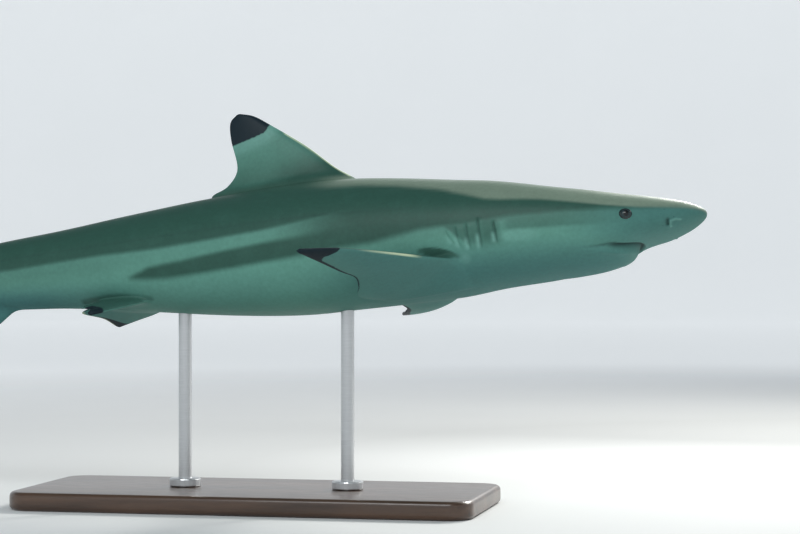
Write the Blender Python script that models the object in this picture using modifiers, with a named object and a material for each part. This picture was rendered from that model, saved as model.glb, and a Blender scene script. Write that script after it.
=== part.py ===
"""Blacktip reef shark (Carcharhinus melanopterus), a still life-size display model.

The body is lofted through cross-sections whose sizes are shares of the total
length, then every fin is lofted between its front and rear edge. All shapes are
set out along a straight shark and carried by one function, place(), into the
banked, slightly climbing swimming pose above the stand.

World frame: metres, +Z up, head towards +X, right flank towards -Y. The origin
is the middle of the underside of the stand's base.
"""
import math

import bmesh
import bpy
import numpy as np
from mathutils import Matrix, Vector

# ---------------------------------------------------------------- driving sizes
TOTAL_LENGTH = 1.40          # snout tip to tip of the upper tail lobe
PERCENT = TOTAL_LENGTH / 100.0
GAP = 0.0003                 # clearance between touching pieces

PITCH = math.radians(4.8)    # nose up
ROLL = math.radians(12.0)    # right flank lifted, belly turned to the right
BEND_START = 48.0            # station where the tail begins to sweep to the left
BEND_REACH = 6.5             # sideways travel of the tail tip, in percent

BASE_LENGTH = 0.56
BASE_WIDTH = 0.24
BASE_THICKNESS = 0.022
BASE_EDGE = 0.006
ROD_RADIUS = 0.008
ROD_STATIONS = {"front": 31.0, "rear": 45.5}
COLLAR_RADIUS = 0.019
COLLAR_HEIGHT = 0.010
BALANCE_STATION = 38.5       # station that stands over the middle of the base
AXIS_HEIGHT = 0.3050         # height of the body axis at that station

RING_POINTS = 32
EYE_STATION = 6.3
EYE_SIDE = 4.05
EYE_LEVEL = -0.50
EYE_LENGTH = 1.12
EYE_DEPTH = 0.62

# Body sections in percent of the total length. Each row: station from the snout,
# height of the back and depth of the belly from the axis, half width, level of
# the widest point, and the squareness of the upper and the lower half.
SECTIONS = (
    (0.0, 0.0, 0.0, 0.0, 0.0, 2.0, 2.0),
    (0.5, 0.47, 0.62, 1.55, -0.05, 2.0, 2.2),
    (1.6, 0.92, 1.22, 2.65, -0.15, 2.1, 2.3),
    (3.3, 1.33, 1.86, 3.50, -0.28, 2.1, 2.4),
    (5.2, 1.73, 2.38, 4.12, -0.38, 2.1, 2.5),
    (7.0, 2.06, 2.98, 4.58, -0.40, 2.1, 2.5),
    (9.5, 2.58, 3.78, 5.02, -0.38, 2.1, 2.4),
    (12.5, 3.16, 4.34, 5.40, -0.32, 2.1, 2.3),
    (17.2, 4.12, 4.72, 5.74, -0.25, 2.05, 2.25),
    (21.0, 4.62, 5.20, 5.90, -0.20, 2.0, 2.25),
    (26.0, 5.24, 5.42, 5.90, -0.10, 2.0, 2.25),
    (30.0, 5.58, 5.54, 5.82, 0.0, 2.0, 2.25),
    (34.0, 5.56, 5.66, 5.62, 0.0, 2.0, 2.25),
    (38.0, 5.36, 5.48, 5.28, 0.0, 2.0, 2.2),
    (43.0, 4.98, 5.00, 4.72, 0.0, 2.0, 2.15),
    (50.0, 4.22, 4.12, 3.80, 0.0, 2.0, 2.1),
    (56.0, 3.52, 3.42, 3.08, 0.0, 2.0, 2.0),
    (61.0, 3.10, 3.08, 2.58, 0.0, 2.0, 2.0),
    (67.0, 2.58, 2.56, 2.05, 0.0, 2.0, 2.0),
    (72.0, 2.18, 2.22, 1.68, 0.0, 2.0, 2.0),
    (74.5, 2.35, 2.16, 1.48, 0.1, 2.0, 2.0),
    (77.5, 3.25, 1.55, 1.05, 0.9, 2.0, 2.0),
    (81.0, 4.55, 0.15, 0.62, 2.1, 2.0, 2.0),
)
MOUTH_STATION = 5.2          # front of the mouth
MOUTH_LENGTH = 3.9
MOUTH_HALF_WIDTH = 4.15
MOUTH_CURVE = 2.2
JAW_FULLNESS = ((5.2, 0.0), (5.6, 0.46), (6.2, 0.76), (7.2, 0.72), (8.6, 0.50), (10.4, 0.24), (12.4, 0.0))
JAW_EDGE = 0.5               # distance over which the lower jaw swells out at the chin
JAW_EDGE_SIDE = 1.6          # and at the corners of the mouth
JAW_ROOF = -1.70             # level of the cut above the jaw, at the mouth
JAW_BACK = 11.2              # station of the cut behind the jaw

# Ends of the lengths that the body is divided into
DIVISIONS = (("head", 0.0, 15.0), ("gill_region", 15.0, 29.2), ("trunk_front", 29.2, 45.5),
             ("trunk_rear", 45.5, 59.0), ("tail_stem", 59.0, 81.0))
RINGS = {"head": 27, "gill_region": 6, "trunk_front": 7, "trunk_rear": 6, "tail_stem": 11}

# Fin edges in percent: (station, level) pairs on the middle plane, root first
FIRST_DORSAL_FRONT = ((28.4, 4.3), (29.7, 5.65), (31.6, 7.05), (34.0, 9.10), (37.0, 11.20), (38.6, 12.25), (39.9, 12.60))
FIRST_DORSAL_REAR = ((41.6, 4.3), (42.5, 5.25), (41.1, 6.10), (40.2, 7.60), (40.7, 10.20), (40.75, 11.80), (40.1, 12.58))
SECOND_DORSAL_FRONT = ((61.6, 2.2), (62.9, 3.15), (64.6, 4.60), (66.5, 6.15), (67.5, 6.62))
SECOND_DORSAL_REAR = ((68.6, 2.0), (70.9, 2.62), (68.9, 3.35), (67.9, 5.20), (67.7, 6.58))
ANAL_FRONT = ((59.6, -2.4), (60.9, -3.25), (62.8, -4.60), (65.0, -6.40), (66.6, -7.55))
ANAL_REAR = ((66.9, -1.9), (69.2, -2.95), (67.0, -3.45), (66.3, -5.00), (66.75, -7.50))
# The tail fin runs from the lower tip up to the upper tip; the fifth pair is the fork
CAUDAL_FRONT = ((86.8, -9.35), (83.6, -7.55), (79.6, -5.10), (76.4, -3.05), (75.2, -0.60), (76.0, 1.60),
                (77.2, 3.35), (82.0, 5.95), (89.0, 9.35), (96.0, 12.40), (99.96, 13.85))
CAUDAL_REAR = ((87.0, -9.30), (86.75, -7.20), (86.0, -4.60), (85.1, -2.50), (84.7, -0.90), (86.0, 1.20),
               (88.4, 3.70), (91.8, 6.90), (94.7, 9.60), (97.2, 10.55), (100.0, 13.80))
CAUDAL_FORK = 4
# Paired fins: distances behind and outwards from the front of the fin's root
PECTORAL_ROOT = (20.2, 4.75, -3.28)
PECTORAL_FRONT = ((-1.4, -3.4), (0.0, 0.0), (2.3, 3.7), (5.55, 8.9), (7.5, 11.7), (9.9, 14.1))
PECTORAL_REAR = ((6.0, -2.9), (8.1, 0.9), (7.72, 3.0), (7.5, 5.0), (8.16, 7.2), (9.0, 10.4), (9.95, 14.0))
PECTORAL_SLOPE = {"right": 0.33, "left": 0.10}   # fall towards the rear edge
PECTORAL_RISE = {"right": 0.132, "left": 0.130}  # climb towards the tip
PECTORAL_SAG = {"right": 0.0, "left": 0.55}      # droop halfway along the fin
PECTORAL_SPAN = 14.1
DROOP_START = 1.2        # outwards, where the droop sets in
DROOP_RUN = 4.0
PELVIC_ROOT = (47.6, 2.2, -3.85)
PELVIC_FRONT = ((-1.0, -1.7), (0.3, 0.1), (3.1, 1.9), (5.7, 3.45))
PELVIC_REAR = ((5.2, -1.3), (8.1, 0.4), (6.6, 1.7), (6.0, 3.35))
PELVIC_SLOPE = {"right": 0.0, "left": -0.075}
PELVIC_RISE = {"right": -0.44, "left": -0.228}
PELVIC_SWEEP = {"right": 0.72, "left": 1.0}      # the right one is folded closer to the body

SKIN_BACK = (0.115, 0.145, 0.110, 1.0)
SKIN_BELLY = (0.420, 0.480, 0.420, 1.0)
FIN_GREY = (0.180, 0.225, 0.180, 1.0)
EYE_DARK = (0.010, 0.014, 0.016, 1.0)
STAND_WOOD = (0.060, 0.035, 0.022, 1.0)
STAND_STEEL = (0.550, 0.560, 0.570, 1.0)


# ---------------------------------------------------------------- shared geometry
def spline(points, t):
    """Catmull-Rom curve through rows of numbers, t running from 0 to 1."""
    rows = np.asarray(points, dtype=float)
    last = len(rows) - 1
    place_on = min(max(t, 0.0), 1.0) * last
    i = min(int(place_on), last - 1)
    f = place_on - i
    before = rows[i - 1] if i > 0 else 2 * rows[0] - rows[1]
    after = rows[i + 2] if i + 2 <= last else 2 * rows[last] - rows[last - 1]
    a, b = rows[i], rows[i + 1]
    return 0.5 * (2 * a + (b - before) * f + (2 * before - 5 * a + 4 * b - after) * f ** 2
                  + (3 * a - before - 3 * b + after) * f ** 3)


def section_at(station):
    """Body section sizes at a station, smooth in the root of the station so the snout is round."""
    roots = [math.sqrt(row[0]) for row in SECTIONS]
    root = math.sqrt(min(max(station, 0.0), SECTIONS[-1][0]))
    i = max(k for k in range(len(roots) - 1) if roots[k] <= root)
    f = (root - roots[i]) / (roots[i + 1] - roots[i])
    values = []
    for column in range(1, 7):
        y = [row[column] for row in SECTIONS]
        span = roots[i + 1] - roots[i]

        def slope(k):
            if k <= 0 or k >= len(roots) - 1:
                near = min(max(k, 0), len(roots) - 2)
                return (y[near + 1] - y[near]) / (roots[near + 1] - roots[near])
            return (y[k + 1] - y[k - 1]) / (roots[k + 1] - roots[k - 1])

        m0, m1 = slope(i) * span, slope(i + 1) * span
        values.append((2 * f ** 3 - 3 * f ** 2 + 1) * y[i] + (f ** 3 - 2 * f ** 2 + f) * m0
                      + (-2 * f ** 3 + 3 * f ** 2) * y[i + 1] + (f ** 3 - f ** 2) * m1)
    return values


def smooth_step(x):
    x = min(max(x, 0.0), 1.0)
    return x * x * (3 - 2 * x)


def mouth_line(side):
    """Station of the edge of the mouth at a distance to the side."""
    return MOUTH_STATION + MOUTH_LENGTH * (abs(side) / MOUTH_HALF_WIDTH) ** MOUTH_CURVE


def jaw_swell(station, side):
    """How far the lower jaw stands out below the snout's own underside."""
    stations = [row[0] for row in JAW_FULLNESS]
    fullness = float(np.interp(station, stations, [row[1] for row in JAW_FULLNESS]))
    sideways = min(abs(side) / MOUTH_HALF_WIDTH, 1.0)
    edge = JAW_EDGE + (JAW_EDGE_SIDE - JAW_EDGE) * sideways
    return fullness * smooth_step((station - mouth_line(side)) / edge)


def ring_point(station, turn, grow=0.0):
    """Point (station, side, level) on the body surface; turn 0 is the left flank, pi/2 the back."""
    back, belly, half_width, widest, upper, lower = section_at(station)
    c, s = math.cos(turn), math.sin(turn)
    height = back - widest if s >= 0 else belly + widest
    power = upper if s >= 0 else lower
    direction = math.atan2(height * s, half_width * c)
    dc, ds = math.cos(direction), math.sin(direction)
    reach = ((abs(dc) / half_width) ** power + (abs(ds) / height) ** power) ** (-1.0 / power)
    if ds < 0:
        reach += jaw_swell(station, reach * dc) * abs(ds)
    reach += grow / PERCENT
    return station, reach * dc, widest + reach * ds


def place(station, side, level):
    """Carry a point of the straight shark, in percent, into the posed shark in the world."""
    past = max(station - BEND_START, 0.0) / (100.0 - BEND_START)
    sweep = BEND_REACH * past ** 2
    slope = 2 * BEND_REACH * past / (100.0 - BEND_START)
    length = math.hypot(1.0, slope)
    along = BALANCE_STATION - station + side * slope / length
    across = sweep + side / length
    point = Vector((along, across, level)) * PERCENT
    point = Matrix.Rotation(-ROLL, 3, "X") @ point
    point = Matrix.Rotation(-PITCH, 3, "Y") @ point
    return point + Vector((0.0, 0.0, AXIS_HEIGHT))


def closed_loft(name, rings, pole_start=None, pole_end=None):
    """Mesh through rings of equal count, its ends closed by a cap or by a pole point."""
    bm = bmesh.new()
    loops = [[bm.verts.new(p) for p in ring] for ring in rings]
    for a, b in zip(loops, loops[1:]):
        for k in range(len(a)):
            n = (k + 1) % len(a)
            bm.faces.new((a[k], a[n], b[n]))
            bm.faces.new((a[k], b[n], b[k]))
    for loop, pole in ((loops[0], pole_start), (loops[-1], pole_end)):
        if pole is None:
            bm.faces.new(loop)
            continue
        tip = bm.verts.new(pole)
        for k in range(len(loop)):
            bm.faces.new((loop[k], loop[(k + 1) % len(loop)], tip))
    bmesh.ops.recalc_face_normals(bm, faces=bm.faces)
    bmesh.ops.triangulate(bm, faces=[f for f in bm.faces if len(f.verts) > 4])
    mesh = bpy.data.meshes.new(name)
    bm.to_mesh(mesh)
    bm.free()
    mesh.shade_smooth()
    mesh.set_sharp_from_angle(angle=math.radians(40))
    return bpy.data.objects.new(name, mesh)


def material(name, colour, roughness, metallic=0.0):
    found = bpy.data.materials.get(name) or bpy.data.materials.new(name)
    found.use_nodes = True
    shader = found.node_tree.nodes["Principled BSDF"]
    shader.inputs["Base Color"].default_value = colour
    shader.inputs["Roughness"].default_value = roughness
    shader.inputs["Metallic"].default_value = metallic
    found.diffuse_color = colour
    return found


def new_collection(name):
    made = bpy.data.collections.new(name)
    bpy.context.scene.collection.children.link(made)
    return made


def cut(obj, cutter, operation="DIFFERENCE"):
    step = obj.modifiers.new(operation.lower(), "BOOLEAN")
    step.operation = operation
    step.object = cutter
    step.solver = "EXACT"


# ---------------------------------------------------------------- body
def body_stations(start, end, count):
    """Stations from start to end; near the snout they crowd towards the tip."""
    if start > 0:
        return [start + (end - start) * k / count for k in range(count + 1)]
    return [end * (k / count) ** 1.5 for k in range(1, count + 1)]


def body_loft(name, stations, grow=0.0):
    """Body surface through the stations, enlarged by grow for use as a cutter."""
    turns = [2 * math.pi * k / RING_POINTS for k in range(RING_POINTS)]
    rings = [[place(*ring_point(station, turn, grow)) for turn in turns] for station in stations]
    nose = place(-grow / PERCENT, 0.0, 0.0) if stations[0] < 1.0 else None
    return closed_loft(name, rings, pole_start=nose)


def build_body(parts, skin):
    half_gap = GAP / 2 / PERCENT
    for name, start, end in DIVISIONS:
        stations = body_stations(start, end, RINGS[name])
        if start > 0:
            stations[0] += half_gap
        if end < SECTIONS[-1][0]:
            stations[-1] -= half_gap
        obj = body_loft(name, stations)
        obj.data.materials.append(skin)
        parts.objects.link(obj)


def build_body_cutter(cutters):
    """The whole body, one gap larger, which every fin, rod and eye is cut clear of."""
    stations = []
    for name, start, end in DIVISIONS:
        stations += [s for s in body_stations(start, end, RINGS[name]) if s not in stations]
    stations[-1] += GAP / PERCENT
    obj = body_loft("body_clearance", stations, GAP)
    cutters.objects.link(obj)
    return obj


# ---------------------------------------------------------------- mouth and eyes
def jaw_block(name, grow):
    """Upright block with the mouth's outline in front, under a sloping roof."""
    extra = grow / PERCENT
    half = MOUTH_HALF_WIDTH + extra
    sides = [half * math.sin(math.pi / 2 * k / 8) for k in range(-8, 9)]
    outline = [(mouth_line(min(abs(y), MOUTH_HALF_WIDTH)) - extra, y) for y in sides]
    outline += [(JAW_BACK + extra, half), (JAW_BACK + extra, -half)]
    roof = [place(x, y, JAW_ROOF + extra - 0.10 * (x - MOUTH_STATION)) for x, y in outline]
    floor = [place(x, y, -9.0) for x, y in outline]
    return closed_loft(name, [floor, roof])


def build_jaw(parts, cutters, skin):
    head = parts.objects["head"]
    jaw = body_loft("lower_jaw", body_stations(0.0, DIVISIONS[0][2], RINGS["head"]))
    jaw.data.materials.append(skin)
    parts.objects.link(jaw)
    inside = jaw_block("jaw_shape", 0.0)
    outside = jaw_block("jaw_clearance", GAP)
    for block in (inside, outside):
        cutters.objects.link(block)
    cut(jaw, inside, "INTERSECT")
    cut(head, outside)


def eyeball(name, side, grow):
    """Flattened ball, longer along the head than it is high, turned to face outwards."""
    bm = bmesh.new()
    bmesh.ops.create_uvsphere(bm, u_segments=16, v_segments=8, radius=1.0)
    sizes = [EYE_LENGTH / 2 * PERCENT + grow, EYE_DEPTH * PERCENT + grow, EYE_LENGTH * 0.45 * PERCENT + grow]
    middle = place(EYE_STATION, side * EYE_SIDE, EYE_LEVEL)
    ahead = (place(EYE_STATION - 1, side * (EYE_SIDE - 0.30), EYE_LEVEL) - middle).normalized()
    above = (place(EYE_STATION, side * EYE_SIDE, EYE_LEVEL + 1) - middle).normalized()
    outward = above.cross(ahead).normalized()
    above = ahead.cross(outward).normalized()
    turn = Matrix((ahead, outward, above)).transposed().to_4x4()
    bm.transform(Matrix.Translation(middle) @ turn @ Matrix.Diagonal((*sizes, 1.0)))
    bmesh.ops.recalc_face_normals(bm, faces=bm.faces)
    mesh = bpy.data.meshes.new(name)
    bm.to_mesh(mesh)
    bm.free()
    mesh.shade_smooth()
    return bpy.data.objects.new(name, mesh)


def build_eyes(parts, cutters, dark):
    for word, side in (("left", 1), ("right", -1)):
        eye = eyeball("eye_" + word, side, 0.0)
        eye.data.materials.append(dark)
        parts.objects.link(eye)
        socket = eyeball("eye_socket_" + word, side, GAP)
        cutters.objects.link(socket)
        cut(parts.objects["head"], socket)


# ---------------------------------------------------------------- fins
FIN_CHORD = 8                # points on each face from front to rear edge
FIN_EDGE = 0.05              # half thickness of the rear edge, in percent


def fin_section(front, rear, thickness, carry):
    """Closed ring from the front edge over one face to the rear edge and back."""
    ring = []
    for face in (1, -1):
        for k in range(FIN_CHORD):
            share = k / FIN_CHORD
            share = 0.5 - 0.5 * math.cos(math.pi * share)
            if face < 0:
                share = 0.5 + 0.5 * math.cos(math.pi * k / FIN_CHORD)
            lens = 2.6 * math.sqrt(share) * (1 - share) ** 0.9 * thickness + FIN_EDGE * min(1.0, 8 * share)
            x = front[0] + (rear[0] - front[0]) * share
            y = front[1] + (rear[1] - front[1]) * share
            ring.append(carry(x, y, face * lens))
    return ring


def fin(name, front, rear, thickness, carry, rows, start=0.0, end=1.0, poles=(False, True)):
    """Loft between two edges; thickness is a pair of half thicknesses, at t = 0 and t = 1."""
    rings = []
    for k in range(rows + 1):
        t = start + (end - start) * k / rows
        share = thickness(t)
        rings.append(fin_section(spline(front, t), spline(rear, t), share, carry))
    first = last = None
    if poles[0]:
        first = carry(*(0.5 * (np.asarray(front[0]) + np.asarray(rear[0]))), 0.0)
        rings = rings[1:]
    if poles[1]:
        last = carry(*(0.5 * (np.asarray(front[-1]) + np.asarray(rear[-1]))), 0.0)
        rings = rings[:-1]
    return closed_loft(name, rings, first, last)


def taper(root, tip, flare=0.0):
    """Half thickness along a fin, with an optional flare over its first third."""
    return lambda t: root + (tip - root) * t + flare * max(0.0, 1 - 3 * t) ** 2


def middle_plane(x, y, offset):
    return place(x, offset, y)


def paired_plane(root, side, slope, rise, sweep=1.0, sag=0.0):
    """Carrier for a fin that stands out sideways from its root."""
    station, out, level = root

    def carry(behind, outwards, offset):
        droop = sag * math.sin(math.pi * min(max(outwards / PECTORAL_SPAN, 0.0), 1.0))
        grown = min(max((outwards - DROOP_START) / DROOP_RUN, 0.0), 1.0)
        droop *= grown * grown * (3 - 2 * grown)
        height = level - slope * sweep * behind + rise * outwards + offset - droop
        return place(station + sweep * behind, side * (out + outwards), height)
    return carry


def build_fins(parts, clearance, skin):
    made = [
        fin("first_dorsal_fin", FIRST_DORSAL_FRONT, FIRST_DORSAL_REAR, taper(0.62, 0.14, 0.25), middle_plane, 14),
        fin("second_dorsal_fin", SECOND_DORSAL_FRONT, SECOND_DORSAL_REAR, taper(0.40, 0.12, 0.15), middle_plane, 7),
        fin("anal_fin", ANAL_FRONT, ANAL_REAR, taper(0.40, 0.12, 0.15), middle_plane, 7),
    ]
    for word, side in (("left", 1), ("right", -1)):
        pectoral = paired_plane(PECTORAL_ROOT, side, PECTORAL_SLOPE[word], PECTORAL_RISE[word],
                                sag=PECTORAL_SAG[word])
        pelvic = paired_plane(PELVIC_ROOT, side, PELVIC_SLOPE[word], PELVIC_RISE[word], PELVIC_SWEEP[word])
        made.append(fin("pectoral_fin_" + word, PECTORAL_FRONT, PECTORAL_REAR, taper(0.56, 0.11, 0.2), pectoral, 12))
        made.append(fin("pelvic_fin_" + word, PELVIC_FRONT, PELVIC_REAR, taper(0.42, 0.12, 0.15), pelvic, 8))

    fork = CAUDAL_FORK / (len(CAUDAL_FRONT) - 1)
    step = GAP / PERCENT / 20.0

    def lobe_thickness(t):
        return 0.16 + 0.34 * math.exp(-((t - fork) / 0.22) ** 2)

    made.append(fin("caudal_lower_lobe", CAUDAL_FRONT, CAUDAL_REAR, lobe_thickness, middle_plane, 9,
                    0.0, fork - step, (True, False)))
    made.append(fin("caudal_upper_lobe", CAUDAL_FRONT, CAUDAL_REAR, lobe_thickness, middle_plane, 14,
                    fork + step, 1.0, (False, True)))
    for obj in made:
        obj.data.materials.append(skin)
        parts.objects.link(obj)
        cut(obj, clearance)


# ---------------------------------------------------------------- stand
def cylinder(name, radius, bottom, top, x):
    bpy.ops.mesh.primitive_cylinder_add(vertices=24, radius=radius, depth=top - bottom,
                                        location=(x, 0.0, (top + bottom) / 2))
    obj = bpy.context.active_object
    obj.name = name
    obj.data.name = name
    for owner in list(obj.users_collection):
        owner.objects.unlink(obj)
    obj.data.shade_smooth()
    obj.data.set_sharp_from_angle(angle=math.radians(40))
    return obj


def build_stand(parts, clearance, wood, steel):
    bpy.ops.mesh.primitive_cube_add(size=1.0, location=(0.0, 0.0, BASE_THICKNESS / 2))
    base = bpy.context.active_object
    base.name = base.data.name = "stand_base"
    for owner in list(base.users_collection):
        owner.objects.unlink(base)
    base.data.transform(Matrix.Diagonal((BASE_LENGTH, BASE_WIDTH, BASE_THICKNESS, 1.0)))
    round_corners = base.modifiers.new("corners", "BEVEL")
    round_corners.width = 0.030
    round_corners.segments = 5
    round_corners.limit_method = "WEIGHT"
    weights = base.data.attributes.new("bevel_weight_edge", "FLOAT", "EDGE")
    for edge in base.data.edges:
        a, b = (base.data.vertices[i].co for i in edge.vertices)
        weights.data[edge.index].value = 1.0 if abs(a.z - b.z) > BASE_THICKNESS / 2 else 0.0
    ease_edge = base.modifiers.new("edge", "BEVEL")
    ease_edge.width = BASE_EDGE
    ease_edge.segments = 2
    ease_edge.limit_method = "ANGLE"
    ease_edge.angle_limit = math.radians(60)
    base.data.materials.append(wood)
    parts.objects.link(base)

    for word, station in ROD_STATIONS.items():
        x = place(station, 0.0, -5.0).x
        foot = BASE_THICKNESS + GAP
        rod = cylinder("stand_rod_" + word, ROD_RADIUS, foot, AXIS_HEIGHT, x)
        collar = cylinder("stand_collar_" + word, COLLAR_RADIUS, foot, foot + COLLAR_HEIGHT, x)
        hole = cylinder("collar_hole_" + word, ROD_RADIUS + GAP, 0.0, 2 * foot + COLLAR_HEIGHT, x)
        clearance.users_collection[0].objects.link(hole)
        edge = collar.modifiers.new("edge", "BEVEL")
        edge.width = 0.0015
        edge.segments = 2
        edge.limit_method = "ANGLE"
        cut(collar, hole)
        cut(rod, clearance)
        for obj in (rod, collar):
            obj.data.materials.append(steel)
            parts.objects.link(obj)


def build():
    for obj in list(bpy.data.objects):
        bpy.data.objects.remove(obj, do_unlink=True)
    parts = new_collection("blacktip_reef_shark")
    cutters = new_collection("cutters")
    skin = material("shark_skin", SKIN_BACK, 0.45)
    fin_skin = material("fin_skin", FIN_GREY, 0.45)
    jaw_skin = material("pale_skin", SKIN_BELLY, 0.45)
    dark = material("eye_dark", EYE_DARK, 0.08)
    wood = material("stand_wood", STAND_WOOD, 0.35)
    steel = material("stand_steel", STAND_STEEL, 0.30, 1.0)
    clearance = build_body_cutter(cutters)
    build_body(parts, skin)
    build_jaw(parts, cutters, jaw_skin)
    build_eyes(parts, cutters, dark)
    build_fins(parts, clearance, fin_skin)
    build_stand(parts, clearance, wood, steel)
    for cutter in cutters.objects:
        cutter.hide_render = True
        cutter.display_type = "WIRE"


build()
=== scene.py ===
"""Blacktip reef shark, a still life-size museum model on a plain stand, in a pale studio."""
import math

import bmesh
import bpy
import numpy as np
from mathutils import Matrix, Vector


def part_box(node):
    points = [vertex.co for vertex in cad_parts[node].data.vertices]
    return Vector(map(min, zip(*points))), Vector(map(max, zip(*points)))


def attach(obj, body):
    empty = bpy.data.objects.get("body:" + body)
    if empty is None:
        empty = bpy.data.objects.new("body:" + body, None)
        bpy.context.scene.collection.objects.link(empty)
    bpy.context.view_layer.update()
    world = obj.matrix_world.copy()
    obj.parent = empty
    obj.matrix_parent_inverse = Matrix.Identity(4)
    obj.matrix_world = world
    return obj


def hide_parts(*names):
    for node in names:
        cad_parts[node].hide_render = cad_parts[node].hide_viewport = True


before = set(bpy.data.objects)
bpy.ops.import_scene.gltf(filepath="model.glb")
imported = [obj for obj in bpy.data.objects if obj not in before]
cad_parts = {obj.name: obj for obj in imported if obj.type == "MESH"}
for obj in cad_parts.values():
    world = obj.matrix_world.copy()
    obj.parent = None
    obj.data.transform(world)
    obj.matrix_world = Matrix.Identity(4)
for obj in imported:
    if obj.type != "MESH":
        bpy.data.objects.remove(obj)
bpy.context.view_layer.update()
scene = bpy.context.scene
bpy.ops.object.select_all(action="DESELECT")

# -------- body skin
# The shark's skin over the head, trunk and tail stem: satin shagreen on one cast
# shell. It is modelled on a straight shark, in percent of the total length, with
# the mouth, nostrils, eye sockets, gill slits and precaudal pits pressed into it.
TOTAL_LENGTH = 1.40
PERCENT = TOTAL_LENGTH / 100.0
# station, back, belly, half width, level of the widest point, squareness above and below
BODY_SECTIONS = np.array((
    (0.0, 0.0, 0.0, 0.0, 0.0, 2.0, 2.0),
    (0.5, 0.47, 0.62, 1.55, -0.05, 2.0, 2.2),
    (1.6, 0.92, 1.22, 2.65, -0.15, 2.1, 2.3),
    (3.3, 1.33, 1.82, 3.50, -0.28, 2.1, 2.4),
    (5.2, 1.73, 2.22, 4.12, -0.38, 2.1, 2.5),
    (7.0, 2.06, 2.98, 4.58, -0.40, 2.1, 2.5),
    (9.5, 2.58, 3.78, 5.02, -0.38, 2.1, 2.4),
    (12.5, 3.16, 4.34, 5.40, -0.32, 2.1, 2.3),
    (17.2, 4.12, 4.72, 5.74, -0.25, 2.05, 2.25),
    (21.0, 4.62, 5.20, 5.90, -0.20, 2.0, 2.25),
    (26.0, 5.24, 5.42, 5.90, -0.10, 2.0, 2.25),
    (30.0, 5.58, 5.54, 5.82, 0.0, 2.0, 2.25),
    (34.0, 5.56, 5.66, 5.62, 0.0, 2.0, 2.25),
    (38.0, 5.36, 5.48, 5.28, 0.0, 2.0, 2.2),
    (43.0, 4.98, 5.00, 4.72, 0.0, 2.0, 2.15),
    (50.0, 4.22, 4.12, 3.80, 0.0, 2.0, 2.1),
    (56.0, 3.52, 3.42, 3.08, 0.0, 2.0, 2.0),
    (61.0, 3.10, 3.08, 2.58, 0.0, 2.0, 2.0),
    (67.0, 2.58, 2.56, 2.05, 0.0, 2.0, 2.0),
    (72.0, 2.18, 2.22, 1.68, 0.0, 2.0, 2.0),
    (74.5, 2.35, 2.16, 1.48, 0.1, 2.0, 2.0),
    (77.5, 3.25, 1.55, 1.05, 0.9, 2.0, 2.0),
    (81.0, 4.55, 0.15, 0.62, 2.1, 2.0, 2.0),
    (85.0, 6.75, -2.70, 0.36, 4.70, 2.0, 2.0),
    (90.0, 9.10, -6.60, 0.20, 7.90, 2.0, 2.0),
    (94.0, 10.70, -10.10, 0.06, 10.40, 2.0, 2.0),
))
MOUTH_STATION = 5.5
MOUTH_LENGTH = 3.6
MOUTH_HALF_WIDTH = 4.15
MOUTH_CURVE = 2.2
JAW_FULLNESS = ((5.4, 0.0), (5.8, 0.34), (6.4, 0.56), (7.3, 0.66), (8.6, 0.50), (10.4, 0.24), (12.4, 0.0))
JAW_EDGE = 0.42
JAW_EDGE_SIDE = 1.6


def section_sizes(station):
    """The six body sizes at an array of stations, smooth in the root of the station."""
    roots = np.sqrt(BODY_SECTIONS[:, 0])
    root = np.sqrt(np.clip(station, 0.0, BODY_SECTIONS[-1, 0]))
    i = np.clip(np.searchsorted(roots, root, side="right") - 1, 0, len(roots) - 2)
    values = BODY_SECTIONS[:, 1:]
    slopes = np.empty_like(values)
    slopes[1:-1] = (values[2:] - values[:-2]) / (roots[2:] - roots[:-2])[:, None]
    slopes[0] = (values[1] - values[0]) / (roots[1] - roots[0])
    slopes[-1] = (values[-1] - values[-2]) / (roots[-1] - roots[-2])
    span = (roots[i + 1] - roots[i])[..., None]
    f = (root - roots[i])[..., None] / span
    made = ((2 * f ** 3 - 3 * f ** 2 + 1) * values[i] + (f ** 3 - 2 * f ** 2 + f) * slopes[i] * span
            + (-2 * f ** 3 + 3 * f ** 2) * values[i + 1] + (f ** 3 - f ** 2) * slopes[i + 1] * span)
    return np.moveaxis(made, -1, 0)


def smooth_step(x):
    x = np.clip(x, 0.0, 1.0)
    return x * x * (3 - 2 * x)


def rising(x, start, run):
    """0 up to the start and 1 from a run past it, smooth between."""
    return smooth_step((x - start) / run)


def falling(x, end, run):
    """1 up to a run before the end and 0 past it, smooth between."""
    return smooth_step((end - x) / run)


def bell(x, width):
    return np.exp(-(x / width) ** 2)


def read_off(table, place):
    """Values at an array of places, in straight lines between a table's pairs."""
    return np.interp(place, *np.array(table).T)


def mouth_line(side):
    """Station of the edge of the mouth at a distance to the side."""
    return MOUTH_STATION + MOUTH_LENGTH * (np.abs(side) / MOUTH_HALF_WIDTH) ** MOUTH_CURVE


def jaw_swell(station, side):
    """How far the lower jaw stands out below the snout's own underside."""
    fullness = read_off(JAW_FULLNESS, station)
    sideways = np.minimum(np.abs(side) / MOUTH_HALF_WIDTH, 1.0)
    edge = JAW_EDGE + (JAW_EDGE_SIDE - JAW_EDGE) * sideways
    return fullness * smooth_step((station - mouth_line(side)) / edge)


def skin_reach(station, direction):
    """Distance from the middle line (at the widest level) out to the skin."""
    back, belly, half, widest, upper, lower = section_sizes(station)
    dc, ds = np.cos(direction), np.sin(direction)
    half = np.maximum(half, 1e-6)
    height = np.maximum(np.where(ds >= 0, back - widest, belly + widest), 1e-6)
    power = np.where(ds >= 0, upper, lower)
    reach = ((np.abs(dc) / half) ** power + (np.abs(ds) / height) ** power) ** (-1.0 / power)
    swell = jaw_swell(station, reach * dc) * np.abs(ds)
    return reach + np.where(ds < 0, swell, 0.0), widest


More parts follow.
